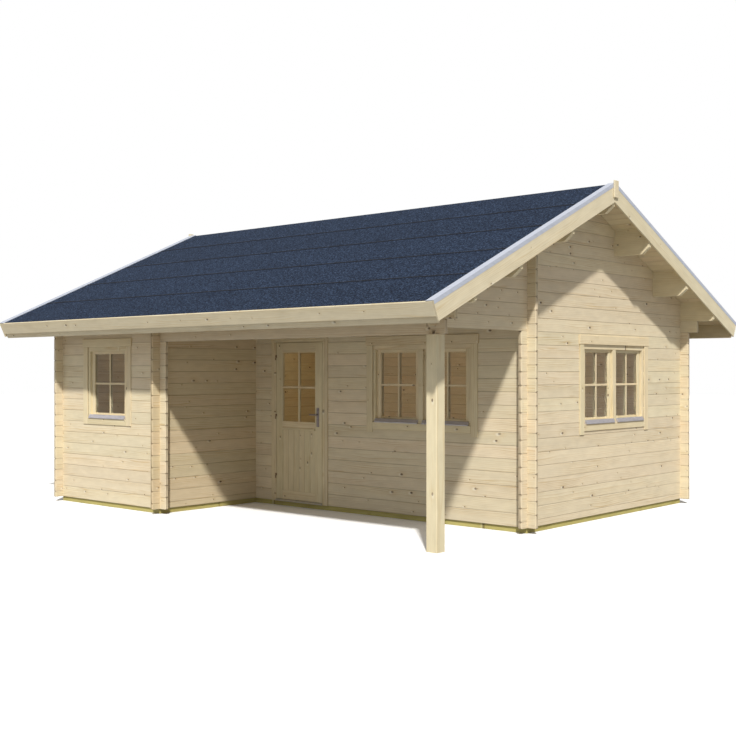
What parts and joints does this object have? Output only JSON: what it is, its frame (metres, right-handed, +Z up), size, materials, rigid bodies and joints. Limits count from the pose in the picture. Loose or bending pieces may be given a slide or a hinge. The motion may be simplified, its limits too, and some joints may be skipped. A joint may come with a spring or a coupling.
{
  "type": "log cabin",
  "caption": "Log cabin with interlocked log corners, a gable roof with felt covering, a corner porch on a post, a half-glazed hinged door and casement windows.",
  "frame": {"origin": "on the ground under the middle of the ridge", "axes": "+X along the ridge to the open end of the porch, +Y to the rear wall, +Z up"},
  "size_m": [7.316, 6.4976, 3.8327],
  "materials": {
    "log_wood": "planed bare spruce logs with small knots",
    "timber_wood": "planed bare spruce timber",
    "board_wood": "planed tongue and groove spruce boards",
    "edge_board_wood": "planed bare spruce boards",
    "joinery_wood": "smooth planed joinery spruce",
    "impregnated_wood": "green-yellow impregnated softwood",
    "roof_felt": "dark slate-blue mineral granules on bitumen felt",
    "verge_metal": "mill-finish folded sheet",
    "rail_metal": "satin extruded metal",
    "handle_metal": "satin grey metal",
    "hinge_metal": "zinc-plated steel",
    "window_glass": "clear pane"
  },
  "bodies": {
    "root": {"front_wall": "log_wood", "front_beam": "log_wood", "bracket_logs": "log_wood", "rear_wall": "log_wood", "porch_wall_hinge_side": "log_wood", "porch_wall_window_side": "log_wood", "porch_wall_over_door": "log_wood", "porch_side_wall": "log_wood", "left_gable": "log_wood", "right_gable_wall": "log_wood", "right_gable_top": "log_wood", "ridge_purlin": "timber_wood", "front_upper_purlin": "timber_wood", "front_lower_purlin": "timber_wood", "rear_upper_purlin": "timber_wood", "rear_lower_purlin": "timber_wood", "eave_plates": "timber_wood", "porch_post": "timber_wood", "roof_boards_front": "board_wood", "roof_boards_rear": "board_wood", "floor_boards": "board_wood", "front_fascia": "edge_board_wood", "rear_fascia": "edge_board_wood", "right_front_barge_board": "edge_board_wood", "right_rear_barge_board": "edge_board_wood", "left_front_barge_board": "edge_board_wood", "left_rear_barge_board": "edge_board_wood", "apex_boards": "edge_board_wood", "door_frame": "joinery_wood", "porch_window_casing": "joinery_wood", "porch_window_frame": "joinery_wood", "gable_window_casing": "joinery_wood", "gable_window_frame": "joinery_wood", "front_window_casing": "joinery_wood", "front_window_frame": "joinery_wood", "foundation_beams": "impregnated_wood", "roof_felt_front": "roof_felt", "roof_felt_rear": "roof_felt", "right_verge_trims": "verge_metal", "left_verge_trims": "verge_metal", "window_drip_rails": "rail_metal", "door_sill": "rail_metal", "door_hinge_pins": "hinge_metal", "window_glass": "window_glass"},
    "door": {"door_leaf": "joinery_wood", "door_glass": "window_glass", "door_handles": "handle_metal", "door_hinge_sleeves": "hinge_metal"}
  },
  "joints": [
    {"name": "door_swing", "type": "hinge", "parent": "root", "child": "door", "pos_m": [-0.655, -1.065, 0.091], "axis": [0, 0, -1], "range_deg": [0, 100]}
  ]
}
